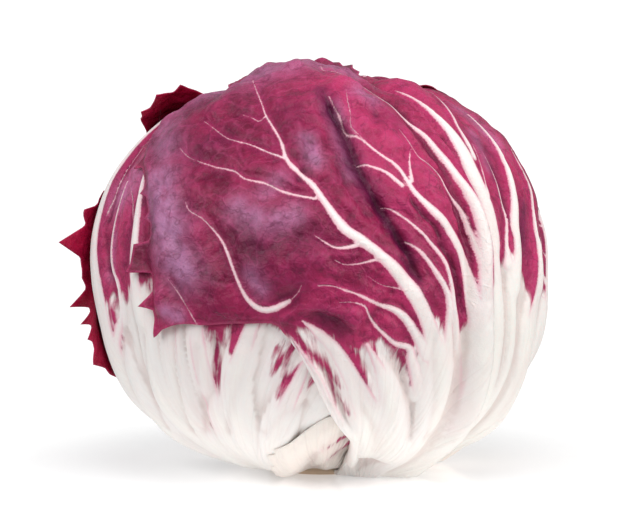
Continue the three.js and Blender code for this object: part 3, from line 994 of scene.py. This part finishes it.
LEFT = (
    (-14, -77), (10, -52), (20, -22), (14, 14), (-8, 42), (-45, 62), (-88, 64), (-110, 44),
    (-114, 10), (-110, -25), (-90, -52), (-72, -77),
)
grow_leaf(
    "left_leaf",
    "leaf_left",
    wrapper_skin,
    (-48, -2),
    LEFT,
    [
        (
            [
                (-62, -66), (-66, -40), (-69, -22), (-72, -10), (-76, -2), (-80, 6), (-82, 14),
                (-84, 24), (-86, 36), (-87, 46),
            ],
            (11, 11, 11, 11, 11, 10, 9, 7, 5, 2.5),
        ),
        (
            [
                (-58, -66), (-64, -38), (-66, -23), (-65, -16), (-62, -8), (-63, -2), (-67, 3),
                (-70, 14), (-72, 24),
            ],
            (8, 6, 4, 3, 2.6, 2.4, 2.0, 1.6, 1.0),
        ),
        (
            [
                (-52, -66), (-51, -34), (-51, -14), (-52.5, -8), (-54.5, 0), (-56, 8), (-58, 16),
                (-62, 25), (-68, 34),
            ],
            (9, 8, 6, 5, 4.6, 4.2, 3.6, 2.4, 1.2),
        ),
        (
            [(-46, -66), (-44, -38), (-42, -20), (-42, -8), (-42, 8), (-46, 30)],
            (9, 8, 6.5, 5, 3.5, 1.5),
        ),
        ([(-40, -66), (-34, -40), (-33, -24), (-33, -10), (-32, 8)], (8, 6.5, 6, 5, 3)),
        (
            [(-36, -68), (-28, -42), (-25, -26), (-21, -16), (-17, -6), (-12, 8)],
            (9, 8, 6.5, 5.5, 4, 2),
        ),
        ([(-32, -68), (-18, -46), (-12, -34), (-6, -22), (0, -10)], (9, 8, 6, 4, 2)),
        ([(-72, -60), (-84, -36), (-92, -18), (-98, 0), (-102, 24)], (9, 7, 5, 3, 1)),
        ([(-76, 14), (-77, 22), (-80, 34), (-82, 44)], (0.5, 0.9, 0.6, 0.3)),
        ([(-60, 15), (-64, 20), (-70, 24)], (0.9, 0.6, 0.3)),
    ],
    [
        (-118, -16), (-100, -14), (-88, -8), (-80, -9), (-72, -10), (-66, -6), (-60, -3), (-56, -2),
        (-51, 0), (-47, -1), (-44, -5), (-36, -7), (-30, -11), (-24, -11), (-19, -7), (-12, -9),
        (-4, -12), (8, -16), (26, -22),
    ],
    rosy=[
        ([(-24, -14), (-14, -18), (-8, -24)], 14, 0.9),
        ([(-70, -12), (-66, 10), (-70, 30)], 14, 0.9),
    ],
    stains=[
        ([(-21, -7), (-22, -11), (-24, -15)], (9.5, 8, 3.0)),
        ([(-26, -8), (-27, -13)], (5, 2.5)),
        ([(-30, -8), (-31, -13)], (3.0, 1.6)),
        (
            [(-29, -12), (-29, -17), (-29, -22), (-32, -27), (-36, -32), (-39, -40)],
            (1.4, 1.2, 1.6, 0.6, -0.4, -1),
        ),
        ([(-8, -14), (-11, -18), (-14, -22)], (3.2, 3.0, 1.2)),
        ([(-12, -15), (-14, -19)], (1.6, 0.6)),
        ([(-4, -18), (-9, -23), (-13, -28)], (2.6, 2.4, 0.6)),
        ([(-2, -22), (-6, -26), (-10, -30)], (2.4, 2.2, 0.6)),
        ([(-71, 10), (-71, 0), (-71, -10), (-71, -14)], (5.5, 5, 4, 1.4)),
        ([(-64, 10), (-60, 0), (-59, -5)], (3, 2.4, 1)),
        ([(-65, -2), (-65, -10), (-64, -18)], (3.6, 3.0, 0.8)),
        ([(-76, -2), (-74, -12), (-71, -20)], (5.0, 4.4, 1.2)),
        ([(-50.5, 3), (-49.5, -1), (-48.5, -3.5)], (2.2, 1.8, 0.4)),
        ([(-48, -5), (-46.5, -9)], (1.2, 0.6)),
        ([(-39, -8), (-40, -13), (-41, -18)], (0.6, -0.6, -2.0)),
        ([(-34, -13), (-36, -24)], (-0.8, -1.4)),
    ],
    folds=[
        ([(-48, -46), (-42, -28), (-40, -16), (-39, -6)], (-1.5, 4.0), (0.4, 2.0)),
        ([(-44, -44), (-36, -32), (-31, -26), (-29, -18), (-29, -10)], (-1.3, 2.0), (-1.3, 2.5)),
        ([(-66, -46), (-58, -32), (-54, -22), (-51, -10)], (-1.5, 3.0), (-1.3, 2.2)),
        ([(-76, -44), (-68, -30), (-64, -20), (-61, -12)], (-1.3, 2.4), (-1.3, 2.4)),
        ([(-34, -44), (-26, -30), (-20, -19), (-17, -10)], (-1.0, 3.0), (-0.8, 3.0)),
        ([(-20, -42), (-12, -34), (-3, -29)], (-0.9, 2.6), (-0.6, 2.6)),
        ([(-37, -34), (-35, -24), (-33, -13)], (-0.8, 1.4), (-0.8, 1.4)),
    ],
    dusk=[([(-61, 8), (-59, 0)], 1.2, 0.5), ([(-58, 22), (-60, 12), (-57, 4)], 2.2, 0.5)],
    painted_sheen=[([(-72, 20), (-66, 30), (-60, 40)], 6, 0.7), ([(-68, 10), (-67, 0)], 2.0, 0.5)],
    level=-1.6,
    foot=4.5,
    flutes=(9, 0.6),
    crumple=0.7,
    seed=4,
)

RIGHT = (
    (42, -77), (36, -44), (33, -8), (34, 22), (34, 50), (40, 74), (100, 76), (98, 52), (86, 28),
    (76, 8), (68, -10), (72, -42), (86, -77),
)
grow_leaf(
    "right_leaf",
    "leaf_right",
    rosy_skin,
    (62, 15),
    RIGHT,
    [
        (
            [
                (62, -70), (54, -44), (50, -24), (48, -12), (47, -2), (48, 8), (49, 18), (49, 28),
                (50, 34), (51, 40), (53, 48), (55, 56), (56, 64),
            ],
            (10, 8, 6.8, 5.6, 5.2, 5.0, 5.2, 5.4, 5.0, 4.2, 2.8, 1.4, 0.7),
        ),
        ([(54, 33), (58, 42), (63, 47), (69, 52), (76, 58)], (3.0, 1.8, 1.4, 1.1, 0.7)),
        ([(51, 22), (54, 27), (56, 31), (59, 37)], (2.2, 1.0, 0.7, 0.4)),
        (
            [
                (66, -70), (60, -40), (57, -20), (55, -8), (56, 2), (58, 8), (60, 14), (63, 19),
                (66, 24), (69, 29), (72, 35), (76, 41), (80, 46),
            ],
            (10, 8, 7, 5.6, 5.0, 4.6, 4.4, 4.0, 3.4, 3.0, 2.4, 1.8, 1.0),
        ),
        (
            [(53, 4), (54, 10), (57, 15), (58, 20), (60, 25), (61, 30), (62, 34)],
            (3.8, 2.0, 1.6, 1.4, 1.1, 0.8, 0.5),
        ),
        (
            [(68, -2), (70, 7), (71, 11), (74, 16), (77, 21), (79, 26), (82, 32)],
            (4.4, 4.0, 3.0, 2.4, 2.0, 1.5, 0.9),
        ),
        (
            [(74, -70), (66, -40), (63, -18), (65, -8), (67, -3), (69, 3), (71, 8)],
            (9, 8, 7, 6, 5.6, 4.6, 2.4),
        ),
    ],
    [
        (26, 14), (40, 12), (47, 7), (50, 3), (53, 6), (56, 6), (60, 2), (63, -8), (66, -6),
        (70, -6), (78, -10), (92, -14),
    ],
    stains=[([(63, 8), (63, 0), (64, -8)], (4.4, 3.8, 1.2)), ([(72, -3), (72, -7)], (2.2, 1.4))],
    folds=[
        ([(62, -6), (63, 2), (64, 8), (67, 15), (72, 20)], (-2.4, 2.6), (-2.4, 2.0)),
        ([(64, -30), (60, -18), (58, -10), (57, -2)], (-1.6, 2.2), (-1.4, 2.2)),
        ([(54, -30), (52, -12), (51, 0), (50, 10)], (-0.9, 1.2), (-0.9, 1.6)),
        ([(58, 10), (59, 20), (63, 30), (68, 38)], (-0.9, 2.4), (-0.9, 2.4)),
        ([(66, -40), (64, -26), (66, -14)], (-1.2, 2.0), (-1.2, 2.0)),
    ],
    dusk=[
        ([(62, 0), (63, 6), (65, 13), (69, 18)], 2.0, 1.0),
        ([(60, 26), (61, 31)], 1.6, 0.6),
        ([(66, 33), (63, 38)], 2.4, 0.6),
    ],
    painted_sheen=[([(60, 30), (64, 40)], 2.5, 0.5), ([(74, 36), (78, 48)], 4, 0.6)],
    rosy=[([(50, 60), (56, 30), (56, 0)], 14, 0.8), ([(70, 40), (70, 10), (70, -10)], 12, 0.8)],
    arcs=[((40, 74), (98, 52), 2.5)],
    lifts=[(120, 76, 18, 2.4)],
    level=-1.0,
    foot=4.0,
    flutes=(7, 0.5),
    crumple=0.7,
    seed=5,
)

BACK_RIGHT = (
    (114, -77), (108, -46), (104, -5), (104, 30), (107, 56), (120, 70), (145, 80), (-175, 84),
    (-135, 82), (-125, 72), (-160, 60), (176, 40), (174, 12), (168, -36), (164, -77),
)
grow_leaf(
    "back_right_leaf",
    "leaf_back_right",
    wrapper_skin,
    (138, 25),
    BACK_RIGHT,
    grown_veins((138, 25), BACK_RIGHT, 11, 21),
    [(92, -24), (108, -16), (120, -4), (138, 4), (154, -4), (166, -14), (184, -22)],
    arcs=[((104, -5), (174, 12), 3.0)],
    lifts=[(-178, 84, 13, 2.2)],
    flares=[(-178, 84, 14, 1.0, 3.0)],
    frill=0.2,
    level=-1.8,
    foot=4.0,
    seed=6,
)

LEFT_BACK = (
    (-112, -77), (-108, -50), (-101, -36), (-91, -28), (-87, -12), (-86, 2), (-88, 14), (-97, 21),
    (-101, 29), (-96, 36), (-88, 40), (-85, 46), (-88, 52), (-98, 59), (-110, 70), (-175, 74),
    (170, 48), (168, 8), (176, -38), (-170, -77),
)
grow_leaf(
    "left_back_leaf",
    "leaf_left_back",
    wrapper_skin,
    (-140, 8),
    LEFT_BACK,
    grown_veins((-140, 8), LEFT_BACK, 11, 31),
    [(-88, -44), (-104, -30), (-120, -12), (-140, -2), (-160, -10), (-188, -24)][::-1],
    tips=[
        (-88, 19, 2.0), (-84.5, 13.6, 2.8), (-80.8, 5.8, 4.6), (-85.6, -2.8, 2.4),
        (-82.4, -8.8, 3.0), (-84, -13.4, 2.0), (-86, -17.5, 2.0), (-87, -23.6, 3.6),
        (-90, -27.6, 2.4), (-85, 40.5, 2.0), (-80, 46, 4.0), (-85, 52, 2.6),
    ],
    arcs=[((-175, 74), (168, 8), 3.0)],
    lifts=[(-92, 46, 12, 2.0)],
    flares=[(-88, -6, 27, 2.2, 3.0), (-86, 46, 13, 2.8, 4.5)],
    frill=0.5,
    level=-1.8,
    foot=4.0,
    seed=7,
)

# ---------------------------------------------------------------------------------------------
# Two stubs at the base: what the knife left of older, outer leaves. They are white rib flesh
# with a torn edge and a few marks of red, pressed flat against the leaves that they grew round.

stub_skin = leaf_skin(
    "leaf_stub_skin", (0.30, 0.012, 0.075, 1), (0.48, 0.05, 0.15, 1), (0.86, 0.79, 0.73, 1), 6
)
STUB_RIGHT = ((84, -77), (80, -54), (84, -42), (100, -37), (116, -42), (122, -56), (118, -77))
grow_leaf(
    "right_stub",
    "stub_right",
    stub_skin,
    (101, -55),
    STUB_RIGHT,
    [([(101, -72), (101, -58), (100, -44)], (5, 4, 2))],
    [(70, -34), (100, -30), (130, -36)],
    stains=[([(80, -52), (83, -43), (92, -39)], (0.4, 0.8, 0.4))],
    arcs=[((84, -42), (116, -42), 1.4)],
    level=-1.0,
    foot=3.0,
    thick=(0.5, 0.9, 1.8),
    flutes=(6, 0.6),
    crumple=0.4,
    seed=8,
)

STUB_FRONT = (
    (-34, -77), (-27, -64), (-21, -54), (-19, -49), (-11, -43), (-4.5, -38.5), (3, -34.5),
    (13, -36), (20, -50), (26, -77),
)
grow_leaf(
    "front_stub",
    "stub_front",
    stub_skin,
    (-4, -56),
    STUB_FRONT,
    [([(4, -76), (2, -60), (-2, -46)], (3, 2.4, 1.4), 0.4)],
    [(-40, -30), (-10, -26), (30, -28)],
    stains=[
        ([(12, -47), (7, -47), (2.5, -49.5)], (2.6, 2.4, 0.6)),
        ([(12.5, -51), (9, -55), (5, -59)], (2.4, 1.6, 0.5)),
    ],
    folds=[
        ([(-22, -66), (-12, -58), (0, -50), (10, -43)], (0.7, 2.6), (-0.5, 2.0)),
        ([(-8, -72), (2, -63), (12, -56)], (-0.5, 1.8), (-0.5, 2.0)),
    ],
    arcs=[((-26, -62), (-11, -43), 0.9)],
    level=-1.4,
    foot=1.0,
    thick=(0.25, 0.6, 1.2),
    flutes=(5, 0.3),
    crumple=0.4,
    seed=9,
)

# ---------------------------------------------------------------------------------------------
# The front leaf: the outermost of all. Its base wraps the right of the front, its rolled white
# edge crosses down to the stem, and its blade folds over the left in one deep pleat.

FRONT = (
    (16, -78), (13.5, -64), (11.5, -52), (10, -44.5), (7, -38.5), (2.4, -32.5), (0.2, -28.2),
    (-2.4, -22), (-5.1, -16.7), (-9.5, -11), (-12.6, -8), (-20, -7.9), (-28.5, -8.6), (-34, -8.5),
    (-38, -9.0), (-42, -10.4), (-44.5, -10.6), (-45, -8), (-46, -5), (-47, -1), (-47.6, 2),
    (-51, 6.5), (-49.5, 11.5), (-51, 16), (-55, 21), (-59.5, 25.5), (-66, 30), (-70, 35.5),
    (-73, 41), (-71, 46), (-69, 52), (-76, 60), (-97, 64), (-112, 73), (-150, 83), (150, 84),
    (70, 80), (47, 68), (48, 55), (44.5, 42), (45, 30), (45, 20), (45.5, 10), (45, 0), (45.5, -10),
    (47, -25), (50, -50), (58, -77),
)
grow_leaf(
    "front_leaf",
    "leaf_front",
    wrapper_skin,
    (0, 18),
    FRONT,
    [
        (
            [
                (50, -70), (42, -46), (33, -26), (28, -12), (25, -5), (22, 0), (18, 5), (14, 9),
                (9, 13), (5, 16), (0, 23), (-3, 27), (-10, 33), (-14, 40), (-22, 48), (-26, 52),
                (-38, 60), (-42, 62),
            ],
            (14, 12, 9, 5.2, 4.8, 5.0, 4.4, 3.3, 3.4, 3.2, 2.2, 2.0, 1.6, 1.2, 0.9, 0.7, 0.5, 0.4),
        ),
        (
            [
                (-2, 23), (-7, 24), (-11, 25), (-16, 27), (-22, 28), (-26, 30), (-33, 31),
                (-39, 32), (-44, 33), (-49, 35),
            ],
            (1.3, 1.1, 1.0, 0.9, 0.8, 0.8, 0.7, 0.6, 0.5, 0.4),
        ),
        (
            [(-11, 34), (-17, 36), (-23, 38), (-29, 39), (-34, 40), (-46, 44)],
            (1.2, 0.9, 0.8, 0.7, 0.6, 0.4),
        ),
        ([(-22, 48), (-24, 46), (-27, 47), (-32, 48)], (0.6, 0.5, 0.3)),
        (
            [
                (-8, -2), (-12, -4), (-15, -4), (-18, -2), (-20, 1), (-22, 5), (-24, 9), (-26, 12),
                (-28, 14), (-32, 17), (-37, 19), (-39, 21),
            ],
            (1.6, 2.4, 2.2, 1.8, 1.4, 1.3, 1.4, 1.0, 0.9, 0.7, 0.6, 0.4),
        ),
        ([(-9, -3), (-6, 0), (-5, 2)], (0.8, 0.5, 0.3)),
        ([(10, 12), (6, 11), (3, 11), (1, 12), (-2, 14)], (2.0, 1.3, 0.9, 0.4)),
        ([(13, 8), (8, 7), (5, 7), (3, 8)], (1.2, 0.7, 0.4)),
        (
            [
                (27, -16), (23, -10), (20, -6), (17, -4), (14, -3), (12, -2), (8, 0), (5, 1),
                (2, 2), (-1, 2),
            ],
            (4.5, 3.3, 2.9, 2.2, 1.6, 1.3, 1.0, 0.8, 0.6, 0.4),
        ),
        ([(22, 0), (18, 1), (14, 2), (11, 4)], (1.0, 0.7, 0.3)),
        (
            [
                (27, -26), (23, -17), (22, -14), (18, -12.5), (15, -10), (13, -8), (11, -5),
                (10, -3), (7, -2), (4, -2),
            ],
            (5, 3.4, 2.6, 1.9, 1.5, 1.3, 1.0, 0.8, 0.6, 0.4),
        ),
        (
            [(40, -45), (36, -25), (33, -12), (32, -2), (28, 5), (25, 9), (21, 12)],
            (8, 6, 4.4, 2.6, 1.8, 1.4, 0.8),
        ),
        (
            [
                (42, -40), (37, -18), (34, -5), (33, 1), (31, 7), (27, 12), (23, 16), (18, 20),
                (16, 21),
            ],
            (7, 5, 3.0, 2.2, 1.7, 1.5, 1.2, 0.8, 0.5),
        ),
        (
            [
                (50, -60), (46, -34), (44, -19), (41, -8), (39, 0), (37, 8), (32, 16), (29, 19),
                (25, 24), (22, 31), (18, 35), (13, 40), (9, 44), (7, 49), (3, 56),
            ],
            (12, 9, 7, 5.2, 4.8, 4.4, 3.6, 3.0, 2.0, 1.5, 1.2, 0.9, 0.8, 0.7, 0.5),
        ),
        ([(22, 26), (18, 30), (14, 32), (10, 34)], (1.7, 1.2, 0.5)),
        ([(25, 27), (26, 32), (28, 36)], (1.6, 0.9, 0.4)),
        (
            [
                (43, -2), (42, 9), (41, 14), (40, 20), (37, 25), (36, 29), (33, 32), (30, 34),
                (29, 39), (28, 43),
            ],
            (3.0, 2.3, 1.9, 1.6, 1.3, 1.0, 0.8, 0.7, 0.6, 0.5),
        ),
        ([(18, 35), (11, 44), (11, 49), (11, 54), (12, 59)], (0.4, 0.5, 0.6, 0.5, 0.3)),
        (
            [
                (46, -45), (43, -15), (43, 2), (44, 10), (44, 18), (43, 24), (42, 28), (41, 35),
                (40, 42), (38, 47), (36, 52), (33, 58), (27, 61), (24, 65), (18, 70), (8, 71),
                (1, 72), (-2, 77),
            ],
            (
                7, 4.8, 4.5, 4.4, 4.0, 3.3, 2.8, 2.4, 2.0, 1.8, 1.5, 1.2, 1.1, 0.9, 0.8, 0.7, 0.6,
                0.5,
            ),
        ),
        (
            [
                (16, -60), (13.5, -50), (11, -42), (5.5, -34.5), (2, -28), (-0.8, -21.5),
                (-3.8, -16.2), (-8, -11),
            ],
            (3.2, 3.2, 3.0, 2.6, 2.3, 2.0, 1.6, 0.7),
            2.4,
        ),
        (
            [(20, -50), (13, -32), (8, -22), (3, -14), (-1, -10), (-5, -7)],
            (9, 8, 5.5, 4.2, 3.2, 0.8),
        ),
        ([(26, -50), (19, -30), (15, -20), (11, -12.5)], (9, 7, 4.0, 1.4)),
        ([(-31, -9), (-34, -5), (-38, -1), (-41, 2)], (0.7, 0.5, 0.3)),
    ],
    [
        (-90, -26), (-50, -18), (-22, -15), (-11, -12), (-5, -10), (1, -11), (5, -14), (9, -14),
        (13, -12), (17, -13), (22, -17), (25, -11), (29, -8), (33, -12), (37, -10), (41, -5),
        (43, 0), (50, -2),
    ],
    stains=[
        ([(-9, -9), (-6, -12), (-2.5, -15.5), (1.5, -19.5), (4, -24)], (3.6, 3.2, 3.0, 2.6, 1.4)),
        ([(-5, -8), (-3, -11), (-2, -14)], (1.8, 1.6, 0.6)),
        ([(1, -21), (3, -25), (5, -28), (7, -31.5)], (0.7, 1.3, 1.2, 0.4)),
        ([(4, -11), (7, -16), (10, -21), (12.5, -26)], (5, 4.6, 3.2, 1.0)),
        ([(10, -10), (12, -14), (14, -18)], (3.2, 2.4, 0.8)),
        ([(17, -11), (19.5, -15), (22, -19), (24, -23)], (3.4, 3.6, 3.0, 1.0)),
        (
            [(32, -4), (34, -10), (36, -17), (38, -21), (41, -30), (43, -38)],
            (1.0, 1.8, 1.7, 0.8, 0.0, -1.0),
        ),
        ([(42, 18), (42, 11), (43, 4), (44, -2)], (1.8, 1.6, 0.8, -0.6)),
        ([(38, 6), (39, 0), (40, -8)], (0.6, 0.2, -1.5)),
        ([(24, -7), (25, -12), (27, -18)], (0.4, -0.6, -2.0)),
    ],
    folds=[
        (
            [
                (26, 0), (23, 6), (20, 12), (17, 18), (14.5, 23), (12.5, 28), (11, 33), (10, 38),
                (8.5, 44), (5, 50), (0, 58),
            ],
            (-3.6, 3.0),
            (-3.6, 1.0),
        ),
        ([(14, 16), (10, 22), (6, 30), (4, 38), (2, 46), (-2, 55)], (-1.3, 2.2), (-0.4, 2.0)),
        (
            [(38, -8), (36, 1), (34, 7), (32, 10), (30, 15), (26, 19), (23, 24)],
            (-1.8, 1.6),
            (0.5, 1.6),
        ),
        (
            [(44, -42), (40, -29), (38, -20), (36, -17), (34, -10), (32, -5)],
            (-0.9, 1.5),
            (-0.9, 1.8),
        ),
        (
            [(-16, -9), (-12, -8), (-8, -6.5), (-4, -5), (0, -4.5), (3, -5.5), (6, -7.5), (9, -10)],
            (2.4, 13),
            (-1.8, 5),
        ),
        ([(-26, 0), (-30, 6), (-34, 11), (-37, 17)], (-1.2, 2.2), (-0.8, 1.6)),
        (
            [(-48, 44), (-45, 50), (-42, 57), (-36, 64), (-27, 71), (-12, 76)],
            (1.5, 5.0),
            (1.5, 3.5),
        ),
        ([(44, -4), (43, 4), (42, 11), (42, 18)], (-1.1, 1.5), (-1.0, 1.5)),
        ([(30, -44), (24, -30), (20, -20), (17, -14)], (-1.0, 2.4), (-1.0, 2.4)),
        ([(38, -46), (32, -30), (29, -18), (28, -8)], (-1.0, 2.0), (-0.8, 2.0)),
        ([(20, 44), (22, 52), (24, 60)], (-1.0, 2.6), (-1.0, 2.6)),
        ([(-8, 26), (-6, 32), (-6, 40), (-8, 48)], (0.0, 1.0), (-1.1, 3.2)),
    ],
    dusk=[
        ([(13, 24), (10, 30), (8, 36), (6, 44), (3, 51), (-1, 58)], 2.9, 0.95),
        ([(23, 7), (19, 13), (16, 19), (13, 24)], 1.5, 0.9),
        ([(20, 8), (24, 2)], 1.4, 0.8),
        ([(-14, 7), (-12, 1), (-17, 12)], 6.0, 0.45),
        ([(-4, 11), (-7, 4)], 5.5, 0.45),
        ([(0, -7), (3, -9)], 3.4, 1.0),
        ([(-13, 51), (-8, 46)], 5.0, 0.35),
        ([(-40, 34), (-36, 38)], 5.0, 0.4),
        ([(-26, -6), (-31, 0)], 4.0, 0.35),
        ([(22, 54), (28, 46)], 4.0, 0.35),
        ([(-48, 13), (-49, 20)], 2.0, 0.6),
    ],
    rosy=[
        ([(46, -20), (42, 8), (34, 30), (22, 48), (12, 60)], 17, 1.0),
        ([(10, -12), (16, -4), (22, 4)], 9, 0.8),
        ([(-12, -6), (-4, -4)], 5, 0.6),
        ([(-2, 8), (2, 2)], 5, 0.35),
        ([(-44, -10), (-34, -8)], 3, 0.5),
        ([(2, -22), (6, -14)], 9, 0.8),
    ],
    painted_sheen=[
        ([(-50, 25), (-46, 19), (-41, 13)], 6.0, 1.0),
        ([(-40, 9), (-36, 4)], 5.5, 1.0),
        ([(-40, -6), (-37, -7)], 2.4, 0.9),
        ([(-22, 20), (-14, 17), (-8, 19)], 4.0, 0.7),
        ([(-12, 28), (-16, 24)], 3.0, 0.5),
        ([(-5, 40), (-2, 33)], 2.4, 0.8),
        ([(4, 52), (6, 46), (7, 38), (9, 30)], 2.6, 0.6),
        ([(18, 58), (22, 54)], 3.0, 0.7),
        ([(-62, 56), (-50, 64), (-30, 74), (0, 80), (28, 76)], 8.0, 0.6),
        ([(-70, 44), (-60, 38), (-52, 32)], 6.0, 0.5),
        ([(-15, 1), (-17, 4)], 2.6, 0.8),
    ],
    tips=[
        (-45, -12.6, 2.6), (-50, -5.6, 2.8), (-54.6, 2.0, 4.0), (-53.6, 9.0, 2.8),
        (-52.5, 15.6, 2.0), (-58, 21.5, 2.2), (-69, 27.5, 2.4), (-75, 33.5, 2.6),
        (-76.5, 38.5, 2.0),
    ],
    flares=[(-50, 4, 24, 0.6, 3.0), (-30, -9, 20, 0.5, 4.0), (5, -36, 34, 0.9, 2.5)],
    lifts=[(-105, 66, 15, 2.0), (120, 80, 17, 2.6)],
    frill=0.6,
    arcs=[((-82, 60), (-150, 83), 1.6), ((-150, 83), (60, 78), 2.4)],
    level=0.6,
    foot=1.0,
    grain=0.8,
    flutes=(8, 0.5),
    crumple=1.5,
    seed=10,
)

# ---------------------------------------------------------------------------------------------
# The floor, the lamps and the camera: a white table in a white room, lit by large soft lamps.

bpy.ops.object.select_all(action="DESELECT")
bpy.ops.mesh.primitive_plane_add(size=2)
table = bpy.context.object
table.name = "table_top"
surface = bpy.data.materials.new("white_table")
surface.use_nodes = True
fn, fl = surface.node_tree.nodes, surface.node_tree.links
shader = fn["Principled BSDF"]
shader.inputs["Base Color"].default_value = (0.93, 0.93, 0.935, 1)
shader.inputs["Roughness"].default_value = 0.16
shader.inputs["Specular IOR Level"].default_value = 0.35
shader.inputs["Emission Color"].default_value = (1, 1, 1, 1)
shader.inputs["Emission Strength"].default_value = 0.27
where = fn.new("ShaderNodeTexCoord")
far = fn.new("ShaderNodeVectorMath")
far.operation = "LENGTH"
fade = fn.new("ShaderNodeMapRange")
fade.interpolation_type = "SMOOTHSTEP"
fade.inputs["From Min"].default_value = 0.05
fade.inputs["From Max"].default_value = 0.14
fade.inputs["To Min"].default_value = 1
fade.inputs["To Max"].default_value = 0
fl.new(where.outputs["Object"], far.inputs[0])
fl.new(far.outputs["Value"], fade.inputs["Value"])
fl.new(fade.outputs[0], shader.inputs["Alpha"])
table.data.materials.append(surface)

room = bpy.data.worlds.new("white_room")
bpy.context.scene.world = room
room.use_nodes = True
wn, wl = room.node_tree.nodes, room.node_tree.links
air = wn["Background"]
air.inputs["Color"].default_value = (1.0, 1.0, 1.0, 1)
seen = wn.new("ShaderNodeLightPath")
power = wn.new("ShaderNodeMapRange")
power.inputs["To Min"].default_value = 0.40
power.inputs["To Max"].default_value = 1.15
wl.new(seen.outputs["Is Camera Ray"], power.inputs["Value"])
wl.new(power.outputs[0], air.inputs["Strength"])

for title, spot, size, watts, colour in (
    ("left_softbox", (-0.75, -0.55, 0.55), 0.7, 5.8, (0.97, 0.98, 1.0)),
    ("top_softbox", (0.1, -0.35, 0.95), 0.7, 4.2, (1.0, 1.0, 1.0)),
    ("right_softbox", (0.85, -0.5, 0.4), 0.7, 6.4, (1.0, 0.99, 0.97)),
):
    lamp = bpy.data.lights.new(title, "AREA")
    lamp.shape = "SQUARE"
    lamp.size = size
    lamp.energy = watts
    lamp.color = colour
    holder = bpy.data.objects.new(title, lamp)
    bpy.context.scene.collection.objects.link(holder)
    holder.location = spot
    aim = Vector((0, 0, 0.058)) - holder.location
    holder.rotation_euler = aim.to_track_quat("-Z", "Y").to_euler()

lens = bpy.data.cameras.new("camera")
lens.sensor_width = 36
camera = bpy.data.objects.new("camera", lens)
bpy.context.scene.collection.objects.link(camera)
DISTANCE, RISE, FRAME_WIDTH = 1.5, math.radians(7), 0.1775
target = Vector((-0.0027, 0, 0.0611))
camera.location = target + DISTANCE * Vector((0, -math.cos(RISE), math.sin(RISE)))
camera.rotation_euler = (target - camera.location).to_track_quat("-Z", "Y").to_euler()
lens.lens = lens.sensor_width * DISTANCE / FRAME_WIDTH
lens.clip_end = 20
bpy.context.scene.camera = camera
bpy.context.scene.view_settings.view_transform = "Standard"
